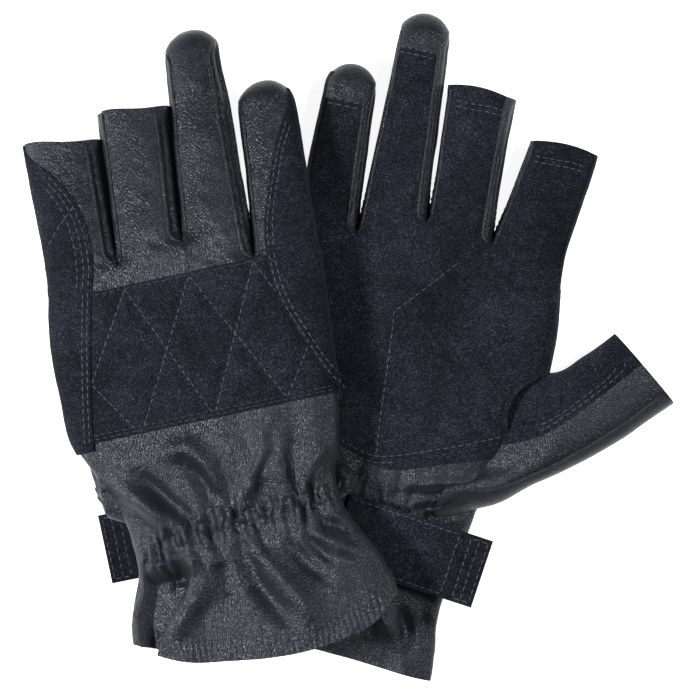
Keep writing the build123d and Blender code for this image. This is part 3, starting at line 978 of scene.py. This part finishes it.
def cuff_grid(glove, top, foot, step, lift):
    """The cuff's back, its edges turned in on the palm side, between two lines as functions of x."""
    wide = close_at_ends(220)
    turn = np.linspace(1, 0, 7)[:-1]
    share = np.concatenate([turn * 0, wide, turn * 0 + 1])
    inward = np.concatenate([3.0 * turn**2, wide * 0, -3.0 * (turn[::-1]) ** 2])[None, :]
    side = np.concatenate([turn * 0 - 1, wide * 0 + 1, turn * 0 - 1])[None, :]
    x = cuff_x(glove, share)[None, :]
    top, foot = top(x), foot(x)
    y = top + (foot - top) * np.linspace(0, 1, max(3, int(np.max(top - foot) / step)))[:, None]
    left, right = edges(glove, y)
    return panel(glove, left + (right - left) * share[None, :] + inward, y, side, lift=lift)


def palm_grid(glove, low, high, step, lift, texture=1.0, margin=2.6, left_edge=None):
    """Panel across the palm side between two rows of heights."""
    y = low + (high - low) * np.linspace(0, 1, max(3, int(np.max(high - low) / step)))[:, None]
    left, right = edges(glove, y)
    a = left + margin if left_edge is None else left_edge(y, left)
    return panel(glove, a + (right - margin - a) * PALM_SHARES, y, -1, lift=lift, texture=texture)


def make_cuff(glove):
    x = cuff_x(glove, PALM_SHARES)
    hem, foot = curve(glove["hem"], x), curve(PALM_FOOT, x)

    def hem_line(rise):
        return lambda x: curve(glove["hem"], x) + rise

    back = cuff_grid(glove, lambda x: PATCH_FOOT + 1.2 + 0 * x, hem_line(HEM_DEPTH), 0.85, 0.0)
    palm = palm_grid(glove, hem + HEM_DEPTH, foot + 3, 1.0, 0.0)
    hems = [cuff_grid(glove, hem_line(HEM_DEPTH + HEM_LAP), hem_line(0.0), 0.8, 0.1),
            palm_grid(glove, hem, hem + HEM_DEPTH + HEM_LAP, 0.8, 0.1)]
    return [cover(glove, "gauntlet_back_leather", "gauntlet_back", [back], LEATHER),
            cover(glove, "gauntlet_palm_leather", "gauntlet_palm", [palm], LEATHER),
            cover(glove, "cuff_hem", "cuff_hem", hems, LEATHER, 1.9)]


def palm_left(y, left):
    """Left edge of the palm suede, cut out round the thumb's root."""
    return np.where(y < 68, np.maximum(curve(THUMB_HOLE, y), left + EDGE), left + EDGE)


def make_palm(glove):
    """Suede palm and the second layer over its thumb side."""
    foot = curve(PALM_FOOT, cuff_x(glove, PALM_SHARES))
    palm = palm_grid(glove, foot, HAND_END, 1.0, 0.55, 0.7, EDGE, palm_left)
    y = rows(17.0, 100.0)
    a = palm_left(y, edges(glove, y)[0]) + 3.0
    b = curve([(17, 2.4), (30, 3.8), (65, 6.8), (75.5, 8.2), (88, -2.4), (100, -12.6)], y)
    x = a + (b - a) * np.linspace(0, 1, 60)[None, :]
    y = np.maximum(y, curve(PALM_FOOT, x) + 1.4)
    patch = panel(glove, x, y, -1, lift=0.95 - 0.33 * smooth(90, 99, y), texture=0.7)
    return [cover(glove, "palm_suede", "palm_panel", [palm], SUEDE),
            cover(glove, "palm_reinforcement_suede", "palm_patch", [patch], SUEDE, 0.5)]


def make_elastic(glove):
    """Elastic band inside the back of the wrist."""
    x = np.linspace(-33, 31, 70)[None, :]
    band = panel(glove, x, rows(-2.0, 7.0, 0.8), 1, lift=-1.5)
    return cover(glove, "wrist_elastic", "wrist_elastic", [band], ELASTIC_MAT, 0.8)


def hand_stitches(glove):
    """Light thread on the suede, dark thread along the patch's ends and the hem."""
    light, dark = [], []
    ys = np.linspace(PATCH_FOOT, HAND_END - 1, 50)
    for off in (1.3, 3.3):
        for seam, away in ((seam_right, off), (seam_left, -off)):
            light.append(trace(glove, lane(lambda y: seam(glove, y) + away, ys), 1, lift=1.35, texture=0.8))
    for line in QUILT:
        light.append(trace(glove, line, 1, texture=0.8, extra=quilting))
    for y, off in ((PATCH_TOP, -1.3), (PATCH_FOOT, 1.4), (PATCH_FOOT, 3.0)):
        a, b = float(seam_left(glove, y)), float(seam_right(glove, y))
        line = [(a + 1, y + off), (b - 1, y + off)]
        dark.append(trace(glove, line, 1, texture=0.8, extra=quilting, lift=0.1))
    left, right = (float(e) for e in edges(glove, CUFF_Y))
    x = np.linspace(left + 4, right - 4, 60)
    for side in (1, -1):
        dark.append(trace(glove, list(zip(x, curve(glove["hem"], x) + 8.6)), side, lift=0.12))
    x = np.linspace(-46, 38, 60)
    for off, lift in ((1.6, 0.75), (4.2, 1.05)):
        light.append(trace(glove, list(zip(x, curve(PALM_FOOT, x) + off)), -1, lift=lift, texture=0.7))
    palm_seam = [(-13.4, 100), (-3.6, 88), (7.0, 75.5), (5.6, 64), (2.6, 30), (1.2, 18)]
    light.append(trace(glove, palm_seam, -1, lift=0.98, texture=0.7))
    light.append(trace(glove, [(28.9, 102), (50, 92)], -1, lift=0.6, texture=0.7))
    g = glove["name"]
    return [stitches(f"{g}_hand_stitches", light, THREAD),
            stitches(f"{g}_hand_dark_stitches", dark, DARK_THREAD)]


def make_hand(glove):
    panels = [*make_back(glove), *make_cuff(glove), *make_palm(glove), make_elastic(glove)]
    for o in (*panels, *hand_stitches(glove)):
        attach(o, glove)


# ---------------------------------------------------------------- thumb
THUMB_HINGE = (-57.6, -10.9)
THUMB_BEND = (-50.5, -64.5)  # the thumb leaves the hand between these x
# edges of the thumb, (share of its length, x, y): the finger side and the wrist side
THUMB_HIGH = [(0.0, -47.0, 57.0), (0.12, -55.0, 63.0), (0.28, -62.7, 66.2), (0.6, -72.0, 75.5),
              (1.0, -81.6, 86.6)]
THUMB_LOW = [(0.0, -26.0, 5.2), (0.1, -37.0, 7.6), (0.2, -47.5, 11.6), (0.3, -56.5, 17.0), (0.5, -69.0, 25.8),
             (0.7, -82.0, 36.6), (0.86, -96.0, 50.0), (1.0, -110.0, 65.6)]


def thumb_edge(rows_, v):
    return curve([(r[0], r[1]) for r in rows_], v), curve([(r[0], r[2]) for r in rows_], v)


def thumb_points(glove, v, u, side, lift=0.0):
    """Local points of the thumb: v from the palm to its mouth, u from its finger side to its wrist side."""
    v, u, side = (a.astype(float) for a in np.broadcast_arrays(v, u, side))
    (hx, hy), (lx, ly) = thumb_edge(THUMB_HIGH, v), thumb_edge(THUMB_LOW, v)
    u = np.clip(u, 0, 1)
    x, y = hx + (lx - hx) * u, hy + (ly - hy) * u
    half = np.where(side < 0, 3.2 + 4.0 * smooth(0.0, 0.16, v), 2.6 + 4.4 * smooth(0.0, 0.45, v))
    z = half * (1 - np.abs(2 * u - 1) ** 2.3) ** (1 / 2.3)
    p = flat3(x, y, 0.8 - 4.2 * smooth(0.0, 0.5, v) + z * side)
    n, flip = outward(p, side)
    q = flat3(x, y, side * 3.0)
    d = 0.3 * noise(q, 13.0, glove["seed"] + 20) + 0.14 * noise(q, 5.5, glove["seed"] + 21) + lift
    root = (3.2 * smooth(0.42, 0.12, v) + 3.6 * smooth(0.16, 0.02, v)) * (glove["name"] == "lower")
    d = d + np.where(side < 0, root * smooth(0.72, 0.9, u), 0.0)
    p = p + n * d[..., None]
    if glove["name"] == "upper":  # folded over, under the palm
        a = math.pi * smooth(*THUMB_BEND, p[..., 0])
        cx, cz = THUMB_HINGE
        dx, dz = p[..., 0] - cx, p[..., 2] - cz
        p[..., 0] = cx + dx * np.cos(a) + dz * np.sin(a)
        p[..., 2] = cz - dx * np.sin(a) + dz * np.cos(a)
    return p, flip


def thumb_grid(glove, v, u, side, lift):
    p, flip = thumb_points(glove, v, u, side, lift)
    return to_row(glove, p), flip


def thumb_line(glove, vu, side, lift):
    """Row-frame points and normals along a (v, u) line of the thumb."""
    vu = np.array(vu, float)
    at = np.linspace(0, 1, 40)
    k = np.linspace(0, 1, len(vu))
    v, u = ribbon(np.interp(at, k, vu[:, 0]), np.interp(at, k, vu[:, 1]), 0.01)
    return middle_line(glove, *thumb_points(glove, v, u, side, lift))


def make_thumb(glove):
    g = glove["name"]
    v = np.linspace(0, 1, 76)[:, None]
    suede_edge = 0.53 - 0.11 * smooth(0.3, 1.0, v)
    roll_edge = 0.90 - 0.05 * smooth(0.5, 1.0, v) + 0.09 * smooth(0.14, 0.0, v)
    strip = np.linspace(0, 1, 26)[None, :]
    turn = np.linspace(0, 1, 13)[None, :]
    suede_grid = thumb_grid(glove, v, (suede_edge + 0.02) * strip, -1, 0.5)
    leather_grid = thumb_grid(glove, v, suede_edge + (roll_edge - suede_edge) * strip, -1, 0.05)
    # rolled strip along the wrist side, round onto the back
    gusset = [thumb_grid(glove, v, roll_edge + (1 - roll_edge) * (1 - (1 - turn) ** 2), -1, 0.75),
              thumb_grid(glove, v, 1 - 0.22 * turn**2, 1, 0.75)]
    back = thumb_grid(glove, v, 0.80 * np.linspace(0, 1, 40)[None, :], 1, 0.0)
    made = [cover(glove, "thumb_suede", "thumb_palm", [suede_grid], SUEDE),
            sheets(f"{g}_thumb_leather_strip", [leather_grid], LEATHER),
            cover(glove, "thumb_gusset_leather", "thumb_gusset", gusset, LEATHER, 1.3),
            cover(glove, "thumb_back_leather", "thumb_back", [back], LEATHER)]
    lines = []
    for off in (0.03, 0.085):
        line = [(0.3, 0.53 - off), (0.55, 0.49 - off), (0.8, 0.44 - off), (0.95 - off, 0.40 - off),
                (0.965 - off, 0.30)]
        lines.append(thumb_line(glove, line, -1, 0.62))
    made.append(stitches(f"{g}_thumb_stitches", lines, THREAD))
    seam = thumb_line(glove, [(0.1, 0.90), (0.5, 0.90), (0.75, 0.875), (1.0, 0.85)], -1, 0.5)
    made.append(rolls(f"{g}_thumb_rolled_seam", [seam], 0.7))
    # a folded thumb lies back over its own root; all its pieces are only baked in place
    for o in made:
        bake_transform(o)


# ---------------------------------------------------------------- strap
STRAP = {
    "upper": dict(y=0.0, tilt=0.0, root=-9.0, end=-57.0, rise=0.0, thick=22.0, droop=-0.4, dip=0.0),
    "lower": dict(y=-15.5, tilt=5.5, root=9.0, end=-51.0, rise=2.85, thick=16.5, droop=1.0, dip=2.2),
}
STRAP_MIDDLE = -14.5  # x about which the strap is tilted
STRAP_THICK, STRAP_HALF = 2.3, 14.0
PAD_THICK, PAD_HALF = 0.95, 11.0
STITCH_HALF = 12.4
STRAP_GAP = 0.3


def strap_points(glove, along, across, z):
    """Local points of the strap; along runs from the root to the tab, from the glove's middle."""
    s = STRAP[glove["name"]]
    along, across, z = np.broadcast_arrays(along, across, z)
    ca, sa = math.cos(math.radians(s["tilt"])), math.sin(math.radians(s["tilt"]))
    dx = along - STRAP_MIDDLE
    x = STRAP_MIDDLE + dx * ca - across * sa
    y = s["y"] + dx * sa + across * ca
    tab = smooth(s["end"] + 16, s["end"], along)
    lift = 0.9 * tab**2 * s["droop"] + 0.25 * noise(flat3(along, across), 12.0, 41)
    return flat3(x, y, s["rise"] + z + lift + s["dip"] * smooth(-8.0, 8.0, along))


def slab(glove, label, ends, half, heights, mat, soft=0.5):
    """Slab with softly rounded edges between two heights, in place of the CAD's."""
    (a0, a1), (z0, z1) = ends, heights
    a = a0 + (a1 - a0) * close_at_ends(max(8, int(abs(a1 - a0) / 1.2)))[:, None]
    b = (-half + 2 * half * close_at_ends(max(8, int(2 * half / 1.2))))[None, :]
    inside = np.minimum(np.minimum(np.abs(a - a0), np.abs(a - a1)), half - np.abs(b))
    round_off = soft * np.exp(-inside / 0.7)
    low, high = strap_points(glove, a, b, z0 + round_off), strap_points(glove, a, b, z1 - round_off)
    count, cols = low.shape[:2]
    size = count * cols
    faces = [*grid_faces(count, cols), *grid_faces(count, cols, size, True)]
    border = [*range(cols), *[r * cols + cols - 1 for r in range(1, count)],
              *[size - 2 - c for c in range(cols - 1)], *[r * cols for r in range(count - 2, 0, -1)]]
    for i, v in enumerate(border):
        w = border[(i + 1) % len(border)]
        faces.append((w, v, v + size, w + size))
    verts = np.concatenate([low.reshape(-1, 3), high.reshape(-1, 3)])
    o = mesh(f"{glove['name']}_{label}", to_row(glove, verts), faces, mat)
    bm = bmesh.new()
    bm.from_mesh(o.data)
    bmesh.ops.recalc_face_normals(bm, faces=bm.faces)
    bm.to_mesh(o.data)
    bm.free()
    return o


def strap_line(glove, points, z, side):
    """Row-frame points and normals along a line of (along, across) on the strap."""
    q = to_row(glove, strap_points(glove, *resample(points, 1.0, 6), z))
    return q, np.tile(glove["seat"][:3, :3] @ np.array([0, 0, float(side)]), (len(q), 1))


def make_strap(glove):
    g = glove["name"]
    s = STRAP[g]
    e, r = s["end"], s["root"]
    loop_top = -s["thick"] / 2 - STRAP_GAP
    top = loop_top - 2.3
    pad = (e + 15, e + 36)
    strap = slab(glove, "wrist_strap_suede", (r, e), STRAP_HALF, (top - STRAP_THICK, top), SUEDE)
    hooks = slab(glove, "strap_hook_pad", pad, PAD_HALF, (top, top + PAD_THICK), HOOKS, 0.2)
    lines = []
    for z, side in ((top - STRAP_THICK, -1), (top, 1)):
        h = STITCH_HALF
        around_strap = [(r - 1, h), (e + 13.5, h), (e + 13.5, -h), (r - 1, -h)]
        tab = [[(e + k, h), (e + k, -h)] for k in (1.6, 5.2, 8.6)]
        sides = [[(e + 1.6, h), (e + 8.6, h)], [(e + 1.6, -h), (e + 8.6, -h)]]
        lines += [strap_line(glove, line, z, side) for line in (around_strap, *tab, *sides)]
    sewing = stitches(f"{g}_strap_stitches", lines, THREAD)
    loops = slab(glove, "strap_loop_pad", pad, PAD_HALF, (loop_top - PAD_THICK, loop_top), HOOKS, 0.2)
    for o, cad_node in ((strap, "wrist_strap"), (hooks, "strap_hook_pad"), (loops, "strap_loop_pad")):
        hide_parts(f"{g}_{cad_node}")
    attach(hooks, glove, body="strap")
    attach(loops, glove)
    start, end = (to_row(glove, strap_points(glove, a, 0.0, top)) for a in (-11.0, -19.0))
    for o in (strap, sewing):
        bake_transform(o)


for one in GLOVES.values():
    for finger_name in FINGERS:
        make_finger(one, finger_name)
    make_hand(one)
    make_thumb(one)
    make_strap(one)


# ---------------------------------------------------------------- stage, light and camera
CAMERA_HEIGHT = 1.22
AIM = (0, 0, 0.02)  # about the middle of the pair's height
VIEW_WIDTH = 0.28  # metres across the picture at that height
SENSOR = 36.0
FLOOR_HALF = 1.5

scene = bpy.context.scene
world = bpy.data.worlds.new("studio")
scene.world = world
world.use_nodes = True
world.node_tree.nodes["Background"].inputs[0].default_value = (1, 1, 1, 1)
world.node_tree.nodes["Background"].inputs[1].default_value = 0.11


def light(name, where, size, power):
    data = bpy.data.lights.new(name, "AREA")
    data.shape = "RECTANGLE"
    data.size = data.size_y = size
    data.energy = power
    o = bpy.data.objects.new(name, data)
    scene.collection.objects.link(o)
    o.location = where
    o.rotation_euler = (Vector(AIM) - Vector(where)).to_track_quat("-Z", "Y").to_euler()


def white(t, b):
    settings(b, {"Base Color": (0.9, 0.9, 0.9, 1), "Roughness": 0.9,
                 "Emission Color": (1, 1, 1, 1), "Emission Strength": 0.88})


corners = [(x * FLOOR_HALF, y * FLOOR_HALF, 0) for x, y in ((-1, -1), (1, -1), (1, 1), (-1, 1))]
floor = mesh("floor", corners, [(0, 1, 2, 3)], material("white_table", white), False)
light("key", (-0.80, -0.10, 0.70), 0.2, 13.5)
light("fill", (0.6, 0.1, 0.9), 0.35, 7.0)

camera = bpy.data.objects.new("camera", bpy.data.cameras.new("camera"))
scene.collection.objects.link(camera)
scene.camera = camera
view_from = GLOVES["upper"]["seat"][:3, 3] - np.array([-0.044, -0.0688, 0.0])  # from the upper glove's seat
camera.location = (float(view_from[0]), float(view_from[1]), CAMERA_HEIGHT)
camera.data.sensor_width = SENSOR
camera.data.lens = SENSOR * (CAMERA_HEIGHT - AIM[2]) / VIEW_WIDTH
camera.data.clip_end = 10
scene.render.resolution_x = scene.render.resolution_y = 1000
scene.view_settings.view_transform = "Standard"
